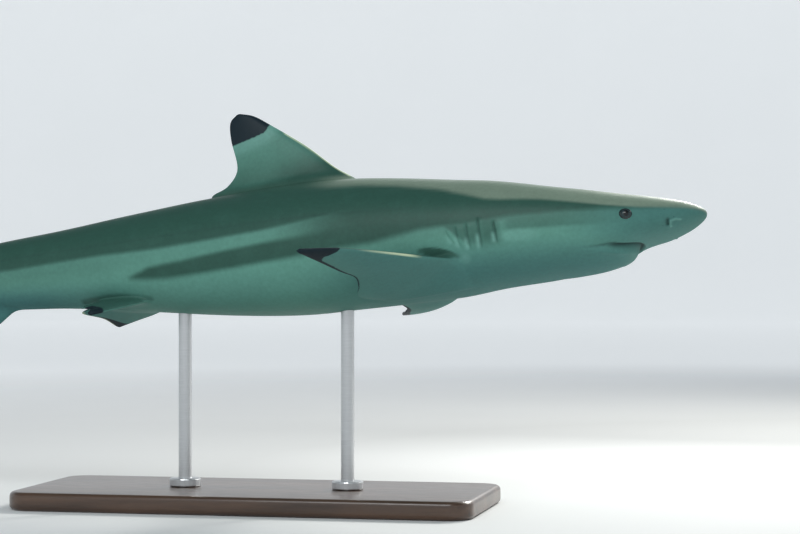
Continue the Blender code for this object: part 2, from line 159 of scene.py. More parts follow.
def skin_direction(station, turn):
    back, belly, half, widest = section_sizes(station)[:4]
    height = np.where(np.sin(turn) >= 0, back - widest, belly + widest)
    return np.arctan2(height * np.sin(turn), half * np.cos(turn))


def on_skin(station, turn, raised=0.0):
    """Points on the bare skin; turn 0 is the left flank and a quarter turn is the back."""
    station, turn = np.broadcast_arrays(np.asarray(station, float), np.asarray(turn, float))
    direction = skin_direction(station, turn)
    reach, widest = skin_reach(station, direction)
    reach = reach + raised
    return np.stack((station, reach * np.cos(direction), widest + reach * np.sin(direction)), axis=-1)


def height_above_skin(points):
    """How far points of the straight shark stand out of its bare skin."""
    widest = section_sizes(points[:, 0])[3]
    across, up = points[:, 1], points[:, 2] - widest
    reach = skin_reach(points[:, 0], np.arctan2(up, across))[0]
    return np.hypot(across, up) - reach


def distance_to_line(points, line):
    """Nearest distance from points to a line of corner points, and how far along it, 0 to 1."""
    line = np.asarray(line)
    nearest = np.full(len(points), 1e9)
    along = np.zeros(len(points))
    for k in range(len(line) - 1):
        step = line[k + 1] - line[k]
        share = np.clip((points - line[k]) @ step / (step @ step), 0.0, 1.0)
        gap = np.linalg.norm(points - line[k] - share[:, None] * step, axis=1)
        closer = gap < nearest
        nearest[closer] = gap[closer]
        along[closer] = (k + share[closer]) / (len(line) - 1)
    return nearest, along


def folded(points):
    """Both flanks laid onto the left one, for features that the two sides share."""
    return np.column_stack((points[:, 0], np.abs(points[:, 1]), points[:, 2]))


def left_line(*station_and_fall):
    """Line on the left flank through pairs of station and degrees below the widest level."""
    rows = np.array(station_and_fall)
    return on_skin(rows[:, 0], -np.radians(rows[:, 1]))


EYE = np.array((6.3, 4.16, -0.52))
EYE_OPENING = (0.445, 0.415)
LID_HEIGHT = 0.015
LID_FOLD_DEPTH = 0.02
SOCKET_DEPTH = 0.40
NOSTRIL_SLIT = left_line((3.02, 29.0), (3.08, 35.0), (3.04, 42.0))
NOSTRIL_FLAP = left_line((2.02, 36.0), (2.42, 32.0), (2.76, 34.0), (2.86, 43.0), (2.82, 50.0))
# Each slit: stations at its top, middle and foot, its top and foot in degrees below the
# widest level, and how open it is
GILL_SLITS = ((16.90, 16.78, 16.72, 3.0, 25.0, 0.44), (18.16, 18.06, 18.02, -1.0, 29.0, 0.42),
              (19.14, 19.06, 18.94, 4.0, 29.0, 0.30), (20.06, 19.92, 19.72, 6.0, 26.0, 0.24),
              (20.90, 20.62, 20.20, 8.0, 22.0, 0.12))
GILL_ZONE = (15.5, 21.6)
# Each amount at a closed slit, and what a fully open one adds
GILL_FLAP_HEIGHT = (0.03, 0.12)
GILL_SLIT_DEPTH = (0.04, 0.26)
GILL_FLAP_PALENESS = (0.3, 1.0)
LABIAL_FURROW = left_line((7.4, 49.0), (8.47, 46.5), (9.6, 43.5), (10.6, 41.0))
# Depth, half width and painted shade of the narrow grooves
FURROW_GROOVE = (0.09, 0.13, 0.42)
NOSTRIL_GROOVE = (0.24, 0.14, 0.66)
VENT_GROOVE = (0.12, 0.10, 0.6)
NOSTRIL_FLAP_HEIGHT = 0.11
NOSTRIL_FLAP_WIDTH = 0.11
NOSTRIL_FLAP_PALENESS = 0.5
MOUTH_DEPTH = 0.30
MOUTH_GAPE = 0.155
MOUTH_GAPE_FRONT = 0.035
LOWER_LIP_HEIGHT = 0.07
UPPER_LIP_HEIGHT = 0.06
VENT_STATION = 50.6
VENT_LENGTH = 0.9
PIT_STATION = 74.2
PIT_LENGTH = 0.28
PIT_DEPTH = 0.16


def eye_radius(points):
    """1.0 on the rim of the eye's opening, less inside it."""
    p = folded(points)
    radius = np.hypot((p[:, 0] - EYE[0]) / EYE_OPENING[0], (p[:, 2] - EYE[2]) / EYE_OPENING[1])
    return np.where(p[:, 1] > 2.5, radius, 9.0)


def gill_parts(points, turn):
    """Relief, painted crease shade and pale flap edge of the five slits on each side."""
    fall = np.degrees(-np.arcsin(np.clip(np.sin(turn), -1, 1)))
    relief, crease, flap = np.zeros((3, len(points)))
    for top_at, middle_at, foot_at, top, foot, opened in GILL_SLITS:
        down = (fall - top) / (foot - top)
        station = np.interp(down, (0.0, 0.5, 1.0), (top_at, middle_at, foot_at))
        ahead = station - points[:, 0]
        fade = rising(down, -0.06, 0.16) * falling(down, 1.06, 0.16)
        height = GILL_FLAP_HEIGHT[0] + GILL_FLAP_HEIGHT[1] * opened
        depth = GILL_SLIT_DEPTH[0] + GILL_SLIT_DEPTH[1] * opened
        relief += fade * (height * bell(np.maximum(ahead, 0) - 0.16, 0.34) * (ahead > -0.05)
                          - depth * bell(ahead + 0.06, 0.085))
        lighter_foot = 1 - 0.55 * rising(down, 0.45, 0.3)
        crease = np.maximum(crease, opened * fade * bell(ahead + 0.05, 0.075) * lighter_foot)
        paleness = GILL_FLAP_PALENESS[0] + GILL_FLAP_PALENESS[1] * opened
        flap = np.maximum(flap, paleness * fade * bell(ahead + 0.26, 0.17) * rising(down, 0.42, 0.25))
    near = (np.abs(points[:, 1]) > 2.0) & (points[:, 0] > GILL_ZONE[0]) & (points[:, 0] < GILL_ZONE[1])
    return relief * near, crease * near, flap * near


def pressed_details(points, turn):
    """Outward relief of everything that is pressed into or raised on the skin, and the painted shade in
    its creases.
    """
    p = folded(points)
    below = np.sin(turn) < 0
    relief = np.zeros(len(points))

    edge = points[:, 0] - mouth_line(points[:, 1])
    sideways = p[:, 1] / MOUTH_HALF_WIDTH
    lean = MOUTH_LENGTH * MOUTH_CURVE / MOUTH_HALF_WIDTH * sideways ** (MOUTH_CURVE - 1)
    edge = edge / np.hypot(1.0, lean)
    mouth = below * falling(p[:, 1], 3.75, 0.9) * (points[:, 2] < -1.2)
    gape = MOUTH_GAPE + MOUTH_GAPE_FRONT * falling(p[:, 1], 2.6, 1.6)
    relief += mouth * (-MOUTH_DEPTH * bell(edge - 0.05, gape) + LOWER_LIP_HEIGHT * bell(edge - 0.42, 0.22)
                       + UPPER_LIP_HEIGHT * bell(edge + 0.30, 0.18))
    # painted shade in the mouth's gape
    crease = mouth * bell(edge - 0.04, gape)

    gap, along = distance_to_line(p, LABIAL_FURROW)
    depth, width, shade = FURROW_GROOVE
    furrow = bell(gap, width) * smooth_step(1.15 - along)
    relief -= depth * furrow
    crease = np.maximum(crease, shade * furrow)

    depth, width, shade = NOSTRIL_GROOVE
    nostril = bell(distance_to_line(p, NOSTRIL_SLIT)[0], width)
    relief -= depth * nostril
    crease = np.maximum(crease, shade * nostril)
    flap = bell(distance_to_line(p, NOSTRIL_FLAP)[0], NOSTRIL_FLAP_WIDTH)
    relief += NOSTRIL_FLAP_HEIGHT * flap

    radius = eye_radius(points)
    relief -= SOCKET_DEPTH * falling(radius, 1.03, 0.14)
    relief += LID_HEIGHT * bell(radius - 1.16, 0.12)
    relief -= LID_FOLD_DEPTH * bell(radius - 1.48, 0.14)
    # painted shade round the rim of the eye's opening
    crease = np.maximum(crease, falling(radius, 1.10, 0.10))

    gill_relief, gill_crease, gill_flap = gill_parts(points, turn)
    relief += gill_relief
    crease = np.maximum(crease, gill_crease)

    depth, width, shade = VENT_GROOVE
    vent = bell(p[:, 0] - VENT_STATION, VENT_LENGTH) * bell(p[:, 1], width) * (points[:, 2] < 0)
    relief -= depth * vent
    crease = np.maximum(crease, shade * vent)
    pit = bell(points[:, 0] - PIT_STATION, PIT_LENGTH) * rising(np.abs(np.sin(turn)), 0.80, 0.18)
    relief -= PIT_DEPTH * pit
    pale = np.maximum(NOSTRIL_FLAP_PALENESS * flap, gill_flap)
    return relief, crease, pale


# The rings of the face stand closer together towards the nose
FACE_END = 12.4
FACE_RINGS = 116
FACE_CROWDING = 1.12
# Stations from, to and between the rings of the neck, the gills, the trunk and the tail
RING_RUNS = ((12.7, 16.2, 0.3), (16.25, 21.4, 0.085), (21.5, 83.0, 0.42), (83.4, 94.0, 0.6))
# Degrees from, to and the number of turns between, from the back down the right flank
TURN_RUNS = ((90, 150, 15), (150, 168, 9), (168, 270, 66))


def add_tube(bm, rows, first_pole, last_pole):
    """Faces between neighbouring rings of points, closed at both ends round a pole."""
    rings = [[bm.verts.new(point) for point in row] for row in rows]
    for a, b in zip(rings, rings[1:]):
        for k in range(len(a)):
            n = (k + 1) % len(a)
            bm.faces.new((a[k], a[n], b[n], b[k]))
    for ring, point in ((rings[0], first_pole), (rings[-1], last_pole)):
        pole = bm.verts.new(point)
        for k in range(len(ring)):
            bm.faces.new((ring[k], ring[(k + 1) % len(ring)], pole))


def object_from(bm, name):
    """Linked object with the mesh, its faces turned outwards."""
    bmesh.ops.recalc_face_normals(bm, faces=bm.faces)
    mesh = bpy.data.meshes.new(name)
    bm.to_mesh(mesh)
    bm.free()
    made = bpy.data.objects.new(name, mesh)
    scene.collection.objects.link(made)
    return made


TAIL_END = (94.2, 0.0, 10.45)
face = FACE_END * (np.arange(1, FACE_RINGS + 1) / FACE_RINGS) ** FACE_CROWDING
stations = np.concatenate([face] + [np.arange(*run) for run in RING_RUNS])
half = np.concatenate([np.linspace(*run, endpoint=False) for run in TURN_RUNS])
turns = np.sort(np.radians(np.concatenate((half, 540 - half[:0:-1], [270.0]))))
bm = bmesh.new()
rows = [[(s, t, 0.0) for t in turns] for s in stations]
add_tube(bm, rows, (0.0, 0.0, 0.0), (TAIL_END[0], 0.0, 0.0))


def is_cell(face):
    """Whether a face is a cell of the grid, and neither a cap nor across the seam."""
    around = [v.co.y for v in face.verts]
    return len(around) == 4 and max(around) - min(around) < 1


def split_where(chosen):
    """Halves the grid's cells where chosen(middles of the cells) is true, for finer relief."""
    cells = [f for f in bm.faces if is_cell(f)]
    middles = np.array([f.calc_center_median()[:2] for f in cells])
    points = on_skin(middles[:, 0], middles[:, 1])
    picked = chosen(points)
    edges = dict.fromkeys(e for f, yes in zip(cells, picked) if yes for e in f.edges)
    bmesh.ops.subdivide_edges(bm, edges=list(edges), cuts=1, use_grid_fill=True)


def near_face_details(points):
    p = folded(points)
    edge = np.abs(p[:, 0] - mouth_line(p[:, 1]))
    mouth = (edge < 0.75) & (p[:, 2] < -1.2) & (p[:, 1] < 3.9)
    nostril = distance_to_line(p, NOSTRIL_FLAP)[0] < 0.45
    slit = distance_to_line(p, NOSTRIL_SLIT)[0] < 0.4
    return mouth | nostril | slit | (eye_radius(points) < 1.75)


split_where(near_face_details)
split_where(lambda points: (eye_radius(points) < 1.35) & (eye_radius(points) > 0.75))

flat = np.array([v.co[:2] for v in bm.verts])
bare = on_skin(flat[:, 0], flat[:, 1])
relief = pressed_details(bare, flat[:, 1])[0]
raised = on_skin(flat[:, 0], flat[:, 1], relief)
raised[flat[:, 0] == 0.0] = 0.0
raised[flat[:, 0] == np.float32(TAIL_END[0])] = TAIL_END
for vertex, point in zip(bm.verts, raised):
    vertex.co = point
skin = object_from(bm, "shark_skin")

# -------- fins
# Eight fins of the same satin skin, stiffened by fine horny rays: the high first
# dorsal fin, the small second one, the anal fin, the pairs and the tail fin. Each
# spreads into a fillet where it grows out of the body, and one skin covers them all.
FIN_EDGE = 0.05
# Front and rear edge of each fin, from root to tip, in the fin's own plane
FIRST_DORSAL = (((28.4, 4.3), (29.7, 5.65), (31.6, 7.05), (34.0, 9.10), (37.0, 11.20), (38.6, 12.22),
                 (39.9, 12.56)),
                ((41.6, 4.3), (42.5, 5.25), (41.1, 6.10), (40.2, 7.60), (40.7, 10.20), (40.75, 11.78),
                 (40.1, 12.54)))
SECOND_DORSAL = (((61.6, 2.2), (62.9, 3.15), (64.6, 4.60), (66.5, 6.15), (67.5, 6.62)),
                 ((68.6, 2.0), (70.9, 2.62), (68.9, 3.35), (67.9, 5.20), (67.7, 6.58)))
ANAL = (((59.6, -2.4), (60.9, -3.25), (62.8, -4.60), (65.0, -6.40), (66.6, -7.55)),
        ((66.9, -1.9), (69.2, -2.95), (67.0, -3.45), (66.3, -5.00), (66.75, -7.50)))
TAIL = (((86.8, -9.35), (83.6, -7.55), (79.6, -5.10), (76.4, -3.05), (75.2, -0.60), (76.0, 1.60),
         (77.2, 3.35), (82.0, 5.95), (89.0, 9.35), (96.0, 12.40), (99.96, 13.85)),
        ((87.0, -9.30), (86.75, -7.20), (86.0, -4.60), (85.1, -2.50), (84.7, -0.90), (86.0, 1.20),
         (88.4, 3.70), (91.8, 6.90), (94.7, 9.60), (97.2, 10.55), (100.0, 13.80)))
PECTORAL = (((-1.4, -3.4), (0.0, 0.0), (2.3, 3.7), (5.55, 8.9), (7.5, 11.7), (9.9, 14.1)),
            ((6.0, -2.9), (8.1, 0.9), (7.72, 3.0), (7.5, 5.0), (8.16, 7.2), (9.0, 10.4), (9.95, 14.0)))
# The pairs by flank: -1 is the right one, 1 the left one
PECTORAL_ROOT = (20.2, 4.75, -3.28)
PECTORAL_SLOPE = {-1: 0.33, 1: 0.10}
PECTORAL_RISE = {-1: 0.132, 1: 0.130}
PECTORAL_SAG = {-1: 0.0, 1: 0.55}
PECTORAL_SPAN = 14.1
PECTORAL_TAPER = {-1: (0.56, 0.11, 0.2), 1: (0.46, 0.11, 0.0)}
PECTORAL_FILLET = {-1: (0.34, 1.0), 1: (0.20, 0.8)}
PELVIC = (((-1.0, -1.7), (0.3, 0.1), (3.1, 1.9), (5.7, 3.45)),
          ((5.2, -1.3), (8.1, 0.4), (6.6, 1.7), (6.0, 3.35)))
PELVIC_ROOT = (47.6, 2.2, -3.85)
PELVIC_SLOPE = {-1: 0.0, 1: -0.075}
PELVIC_RISE = {-1: -0.44, 1: -0.228}
PELVIC_SWEEP = {-1: 0.72, 1: 1.0}
# Rings and points across one face, half thickness at root and tip and the root's flare, and how
# far the root spreads over the body and from how high above it
FIN_MAKES = {"dorsal": ((52, 22), (0.62, 0.14, 0.25), (0.42, 1.15)),
             "small": ((30, 14), (0.40, 0.12, 0.15), (0.26, 0.60)),
             "pelvic": ((30, 14), (0.42, 0.12, 0.15), (0.12, 0.45))}
TAIL_GRID = (90, 22)
TAIL_FILLET = (0.0, 1.0)
PECTORAL_GRID = (60, 24)
# Place, width and depth of the notch in the tail's upper lobe
TAIL_NOTCH = (0.83, 0.012, 0.85)


def spline(points, t):
    """Catmull-Rom curve through rows of numbers, t running from 0 to 1."""
    rows = np.asarray(points, dtype=float)
    rows = np.vstack((2 * rows[0] - rows[1], rows, 2 * rows[-1] - rows[-2]))
    last = len(rows) - 3
    on = np.clip(np.atleast_1d(t), 0.0, 1.0) * last
    i = np.minimum(on.astype(int), last - 1)
    f = (on - i)[:, None]
    before, a, b, after = rows[i], rows[i + 1], rows[i + 2], rows[i + 3]
    return 0.5 * (2 * a + (b - before) * f + (2 * before - 5 * a + 4 * b - after) * f ** 2
                  + (3 * a - before - 3 * b + after) * f ** 3)


def fin_lens(share, thickness):
    """Half thickness across a fin from its front edge (0) to its rear edge (1)."""
    return 2.6 * np.sqrt(share) * (1 - share) ** 0.9 * thickness + FIN_EDGE * np.minimum(1.0, 8 * share)


def fin_grid(edges, thickness, rows, across, carry, fillet, fillet_reach, notch=None):
    """Closed mesh of a fin: rings from root to tip, each over one face and back by the other."""
    front, rear = edges
    t = np.linspace(0.0, 1.0, rows)[:-1]
    t_rows = t[:, None]
    lead, trail = spline(front, t), spline(rear, t)
    if notch is not None:
        middle, width, depth = notch
        trail[:, 0] -= depth * bell(t - middle, width)
    step = 0.5 - 0.5 * np.cos(math.pi * np.arange(across) / across)
    share = np.concatenate((step, 1.0 - step))[None, :]
    face = np.concatenate((np.ones(across), -np.ones(across)))[None, :]
    lens = face * fin_lens(share, thickness(t_rows))
    flat = lead[:, None, :] + (trail - lead)[:, None, :] * share[..., None]
    chord = np.linalg.norm(trail - lead, axis=1)[:, None] * share
    run = np.roll(chord, -1, axis=1) - np.roll(chord, 1, axis=1)
    rise = np.roll(lens, -1, axis=1) - np.roll(lens, 1, axis=1)
    length = np.maximum(np.hypot(run, rise), 1e-6)
    out_chord, out_face = -rise / length, run / length
    points = carry(flat[..., 0], flat[..., 1], lens)
    clear = height_above_skin(points.reshape(-1, 3)).reshape(lens.shape)
    spread = fillet * np.clip(1.0 - clear / fillet_reach, 0.0, 1.6) ** 2
    along = (trail - lead) / np.maximum(np.linalg.norm(trail - lead, axis=1), 1e-6)[:, None]
    flat = flat + along[:, None, :] * (out_chord * spread)[..., None]
    points = carry(flat[..., 0], flat[..., 1], lens + out_face * spread)
    tip = carry(*(0.5 * (spline(front, 1.0) + spline(rear, 1.0)))[0], 0.0)
    root = carry(*(0.5 * (lead[0] + trail[0])), 0.0)
    return points, root, tip


def in_middle(x, y, offset):
    return np.stack(np.broadcast_arrays(x, offset, y), axis=-1).astype(float)


def in_pair(root, side, slope, rise, sweep=1.0, sag=0.0):
    """Carrier for a fin that stands out sideways from its root."""
    def carry(behind, outwards, offset):
        outwards = np.asarray(outwards)
        droop = sag * np.sin(math.pi * np.clip(outwards / PECTORAL_SPAN, 0.0, 1.0))
        droop = droop * rising(outwards, 1.2, 4.0)
        level = root[2] - slope * sweep * behind + rise * outwards + offset - droop
        across = side * (root[1] + outwards)
        return np.stack(np.broadcast_arrays(root[0] + sweep * behind, across, level), axis=-1)
    return carry


def taper(root, tip, flare=0.0):
    return lambda t: root + (tip - root) * t + flare * np.maximum(0.0, 1 - 3 * t) ** 2


def tail_thickness(t):
    return 0.16 + 0.34 * bell(t - 0.4, 0.22)


def made_fin(edges, kind, carry):
    grid, thickness, fillet = FIN_MAKES[kind]
    return fin_grid(edges, taper(*thickness), *grid, carry, *fillet)


fin_makes = [made_fin(FIRST_DORSAL, "dorsal", in_middle), made_fin(SECOND_DORSAL, "small", in_middle),
             made_fin(ANAL, "small", in_middle),
             fin_grid(TAIL, tail_thickness, *TAIL_GRID, in_middle, *TAIL_FILLET, notch=TAIL_NOTCH)]
for flank in (-1, 1):
    pectoral = in_pair(PECTORAL_ROOT, flank, PECTORAL_SLOPE[flank], PECTORAL_RISE[flank],
                       sag=PECTORAL_SAG[flank])
    pelvic = in_pair(PELVIC_ROOT, flank, PELVIC_SLOPE[flank], PELVIC_RISE[flank], PELVIC_SWEEP[flank])
    fin_makes.append(fin_grid(PECTORAL, taper(*PECTORAL_TAPER[flank]), *PECTORAL_GRID, pectoral,
                              *PECTORAL_FILLET[flank]))
    fin_makes.append(made_fin(PELVIC, "pelvic", pelvic))

bm = bmesh.new()
for points, root, tip in fin_makes:
    add_tube(bm, points, root, tip)
for face in bm.faces:
    face.material_index = 1
fins = object_from(bm, "fins")

# -------- one skin
# Body and fins are joined into one shell, and the skin is eased over each root.
for blank in ("body", "fin"):
    skin.data.materials.append(bpy.data.materials.new(blank))
    fins.data.materials.append(bpy.data.materials[blank])
join = skin.modifiers.new("join", "BOOLEAN")
join.operation = "UNION"
join.solver = "EXACT"
join.object = fins
bpy.context.view_layer.objects.active = skin
bpy.ops.object.modifier_apply(modifier="join")
bpy.data.objects.remove(fins, do_unlink=True)

# Rings round each root that are eased in turn, and the gap under which the join's corners merge
EASE_RINGS = (5, 4, 3, 2, 2, 1, 1)
MERGE_GAP = 0.012
bm = bmesh.new()
bm.from_mesh(skin.data)
bmesh.ops.remove_doubles(bm, verts=bm.verts, dist=MERGE_GAP)
seam = {v for e in bm.edges if len({f.material_index for f in e.link_faces}) > 1 for v in e.verts}
rings = [set(seam)]
for _ in range(max(EASE_RINGS)):
    rings.append(rings[-1] | {e.other_vert(v) for v in rings[-1] for e in v.link_edges})
for reach in EASE_RINGS:
    bmesh.ops.smooth_vert(bm, verts=list(rings[reach]), factor=0.5, use_axis_x=True, use_axis_y=True,
                          use_axis_z=True)
bm.to_mesh(skin.data)
bm.free()

# -------- markings
# The painted pattern of the species: an olive grey back, a pale belly, a light band
# that runs forward into the dark flank, and black tips on every fin. Light and shade are
# painted here too: shade in creases and under the body, highlights on thin edges and on the crown.
BAND_START = 28.0
BAND_RUN = 11.0
TONGUE_END = 49.2
THROAT_START = 15.9
THROAT_END = 21.3
# Levels of the pattern's edges and its amounts, by station
DARK_LOW = ((0, -0.02), (3, -0.05), (7, -0.12), (12, -0.29), (16.4, -0.42), (19.2, -0.74), (21.3, -0.66),
            (23.0, -0.74), (24.7, -1.06), (27.5, -1.50), (30.6, -1.70), (35.1, -2.05), (39.6, -2.30),
            (43.2, -2.46), (45.9, -2.50), (48.0, -2.32), (49.2, -2.10))
# The crown is the species' olive-brown top, with painted light from above on it
CROWN_LOW = ((0, -0.10), (2, -0.10), (3.2, -0.08), (5.1, 0.0), (6.3, 0.12), (8.25, 0.38), (9.9, 0.66),
             (11.5, 0.93), (13.1, 1.18), (14.7, 1.33), (16.4, 1.42), (17.7, 1.60), (19.7, 2.28),
             (21.5, 2.92), (25.4, 3.71), (28.4, 4.1), (31.1, 4.15), (34, 4.6), (40, 4.7), (50, 3.8),
             (60, 2.75), (72, 1.9), (76, 2.6), (100, 20))
BAND_TOP = ((30, 1.2), (34.3, 0.77), (37.2, 0.50), (41.8, 0.22), (46.6, 0.0), (52, 0.0), (56, -0.16),
            (60, -0.32), (66, -0.25), (72, 0.05), (77, 1.0), (81, 2.60), (88, 7.0), (96, 11.6))
BAND_LOW = ((30, 0.0), (34.3, -0.34), (37.2, -0.52), (40.7, -0.80), (44.2, -1.14), (47.1, -1.36),
            (49.2, -2.10))
# Painted shade on the underside and chin, by station
UNDER_TOP = ((0, -1.0), (45, -1.6), (60, -1.0), (80, 0.6))
UNDER_RUN = ((0, 3.2), (45, 3.0), (60, 2.0), (80, 1.4))
UNDER_SHADE = ((0, 1.25), (12, 1.15), (26, 1.0), (34, 0.25), (48, 0.35), (58, 1.3))
CHIN_SHADE = 0.95
SOFTNESS = ((0, 0.70), (6, 1.00), (17, 1.10), (21, 0.80), (30, 0.92), (36, 0.60), (60, 0.76))
CROWN_SOFTNESS = ((0, 0.30), (8, 0.30), (16, 0.50), (30, 0.80))
# The crown's painted light fades out from the first dorsal fin backwards
CROWN_FADE_START = 29.0
CROWN_FADE_RUN = 5.0
CROWN_FADE = 0.92
LATERAL_LINE = ((21, 1.15), (30, 1.35), (40, 1.30), (55, 0.95), (70, 0.62), (82, 1.20))
LINE_WIDTH = 0.10
LINE_SHADE = 0.16
BAND_TINT = ((46.0, 0.17), (57.0, 0.38))
GILL_SHADE = 0.73
CHEEK_SHADE = ((6.0, 0.14), (8.4, 0.34), (11.5, 0.60), (15.6, 0.62))
# Station, level, half length, half height and strength of the patches on the flank
GLEAM = (15.0, -1.72, 1.6, 0.48, 0.30)
ROOT_PATCH = (21.70, -2.72, 1.60, 0.42, 0.95)
ROOT_PATCH_SLOPE = 0.20
THROAT_HIGHLIGHT = (19.5, -3.2, 1.0, 1.0, 0.26)
PELVIC_CREASE = ((47.6, -3.86), (49.8, -3.48), (51.2, -3.36), (53.9, -3.44))
PELVIC_CREASE_SHADE = 0.78
PELVIC_STATIONS = (46.0, 58.0)
DORSAL_RUN = ((31.5, 1.45), (34.5, 1.15), (37.5, 0.80))
DORSAL_GREY = 0.94
DORSAL_GREY_DROP = 0.52
SECOND_DORSAL_GREY = 0.62
TAIL_GREY = 0.40
LOW_FIN_GREY = 0.16
PAIR_GREY_BELOW = 0.04
PAIR_GREY_ABOVE = 0.82
# Edges of the black tips in each fin's own plane
FIRST_TIP_EDGE = ((36.9, 12.4), (37.12, 11.34), (37.28, 11.03), (37.65, 10.53), (38.65, 10.17),
                  (39.66, 9.91), (41.3, 9.5))
SECOND_TIP_EDGE = ((65.2, 6.3), (66.5, 5.75), (68.6, 5.1))
ANAL_TIP_EDGE = ((63.4, -7.0), (65.0, -6.1), (67.4, -5.3))
TAIL_TIP_EDGE = ((79.4, -6.4), (80.6, -5.75), (84.0, -3.3), (86.6, -1.6))
PECTORAL_TIP_EDGE = ((6.4, 11.3), (7.21, 11.26), (7.92, 11.38), (8.40, 11.45), (8.58, 11.25),
                     (8.72, 10.87), (8.86, 10.4), (9.3, 9.8))
PECTORAL_TIP_SHIFT = {-1: 0.0, 1: 1.3}
PELVIC_TIP_EDGE = ((3.2, 2.95), (4.4, 2.69), (4.89, 2.46), (5.24, 2.13), (5.68, 1.79), (6.03, 1.45),
                   (6.6, 1.1))
PELVIC_TIP_GAIN = 0.22
# Width of the black rear margin of the tail by level, and of the pectorals by distance outwards
TAIL_MARGIN = ((-2, 0.6), (1, 0.34), (9, 0.28), (12, 0.5))
PECTORAL_MARGIN = {-1: ((0.9, -0.10), (3.2, 0.10), (6.5, 0.18), (9.5, 0.34)),
                   1: ((2.5, -0.20), (3.6, 0.20), (6.0, 0.38), (11.0, 0.60))}
# Width of the bright rims: painted highlights that stand for light through a thin fin edge
PECTORAL_HIGHLIGHT = 0.06
PELVIC_HIGHLIGHT = 0.22
CREST_HIGHLIGHT = 0.14


def skin_turn(points):
    """Turn round the body of points on or over the skin: the reverse of on_skin."""
    back, belly, half, widest = section_sizes(points[:, 0])[:4]
    up = points[:, 2] - widest
    height = np.maximum(np.where(up >= 0, back - widest, belly + widest), 1e-6)
    return np.arctan2(up / height, points[:, 1] / np.maximum(half, 1e-6))


def past_edge(flat, edge, beyond=1.0):
    """Signed distance past an edge in a fin's own plane: beyond is the sign of the tip's side."""
    gap = distance_to_line(flat, edge)[0]
    return gap * np.sign(beyond * (flat[:, 1] - read_off(edge, flat[:, 0])))


def strip_along(flat, rear, width):
    """How far points lie inside a strip of that width along a fin's front or rear edge."""
    return width - distance_to_line(flat, spline(rear, np.linspace(0, 1, 60)))[0]


def from_patch(patch, slope=0.0):
    """Distance from the middle of a patch on the flank, 1.0 on its rim."""
    middle_level = patch[1] + slope * (station - patch[0])
    return np.hypot((station - patch[0]) / patch[2], (level - middle_level) / patch[3])


def above(levels, softness):
    """0 below a level and 1 above it, with a soft edge; both are tables by station."""
    return smooth_step((level - read_off(levels, station)) / read_off(softness, station) + 0.5)


def paint(mesh, name, values):
    """New attribute on the mesh's points, of numbers or of rows of three."""
    kind, key = ("FLOAT", "value") if values.ndim == 1 else ("FLOAT_VECTOR", "vector")
    layer = mesh.attributes.new(name, kind, "POINT")
    layer.data.foreach_set(key, values.astype(np.float32).ravel())


def vertex_rows(mesh, kind):
    rows = np.empty(len(mesh.vertices) * 3)
    mesh.vertices.foreach_get(kind, rows)
    return rows.reshape(-1, 3)


skin_mesh = skin.data
points = vertex_rows(skin_mesh, "co")
normals = vertex_rows(skin_mesh, "normal")
station, side, level = points.T
apart = np.abs(side)
near_flank = side < 0
clear = height_above_skin(points)
turn = skin_turn(points)
_, crease, pale = pressed_details(on_skin(station, turn), turn)
on_fin = rising(clear, 0.15, 0.5)
crease *= 1 - on_fin
pale *= 1 - on_fin
middle_plane = np.column_stack((station, level))

# back and belly of the body, with painted shade on the cheek, the throat and over the pectoral root, a
# painted pool of light and a painted highlight on the flank
band = rising(station, BAND_START, BAND_RUN) * above(BAND_LOW, SOFTNESS)
tongue = above(DARK_LOW, SOFTNESS) * (station < TONGUE_END) * (1 - band)
rear_dark = above(BAND_TOP, SOFTNESS) * (station > BAND_START)
tint = read_off(BAND_TINT, station) * rising(level, -2.4, 1.6)
throat = (rising(station, THROAT_START, 1.0) * rising(level, -2.75, 1.1)
          * falling(station, THROAT_END + 1.15 * (level + 0.7), 0.6))
cheek = read_off(CHEEK_SHADE, station) * falling(station, 17.0, 1.6) * rising(level, -1.55, 0.5)
# dark patch over the pectoral root: the dark back colour round the fin's base, with painted shadow in its
# armpit
root_patch = ROOT_PATCH[4] * falling(from_patch(ROOT_PATCH, ROOT_PATCH_SLOPE), 1.20, 0.36)
dark = np.max((tongue, rear_dark, tint, GILL_SHADE * throat * (apart > 2.5), cheek * (apart > 2.5),
               root_patch * (apart > 3.5)), axis=0)
# painted pool of light on the flank ahead of the gills
pale = np.maximum(pale, GLEAM[4] * falling(from_patch(GLEAM), 1.35, 0.8) * (apart > 3))
# painted highlight in front of the near pectoral fin's root
pale = np.maximum(pale, THROAT_HIGHLIGHT[4] * falling(from_patch(THROAT_HIGHLIGHT), 0.62, 0.5) * near_flank)

# fins: the pairs are dark above and pale below, the middle ones grey
at_pelvics = (station > PELVIC_STATIONS[0]) & (station < PELVIC_STATIONS[1])
inner = np.where(at_pelvics, 0.9, 2.2)
middle_fin = (apart < inner) & (clear > 0.0)
paired = (apart > inner) & (station > 16) & (station < 60) & (clear > 0.03)
dorsal_grey = (DORSAL_GREY - DORSAL_GREY_DROP * rising(level, 5.6, 3.4)) * read_off(DORSAL_RUN, station)
fin_grey = np.where(station < 50, dorsal_grey, np.where(station < 73, SECOND_DORSAL_GREY, TAIL_GREY))
fin_grey = np.where(level < 0, LOW_FIN_GREY, fin_grey)
dark = np.where(middle_fin, dark + (fin_grey - dark) * smooth_step(clear / 0.9), dark)
upper_face = rising(normals[:, 2], np.where(station > 40, -0.5, -0.05), 0.5)
rooted = np.where(station > 40, rising(clear, -0.10, 0.15), rising(clear, 0.05, 0.18))
dark = np.where(paired, dark + (PAIR_GREY_BELOW + PAIR_GREY_ABOVE * upper_face - dark) * rooted, dark)
# painted shade in the crease above the near pelvic fin's root
gap = distance_to_line(middle_plane, PELVIC_CREASE)[0]
over = smooth_step((level - read_off(PELVIC_CREASE, station) + 0.12) / 0.12)
dark = np.maximum(dark, PELVIC_CREASE_SHADE * falling(gap, 0.42, 0.34) * over * near_flank)

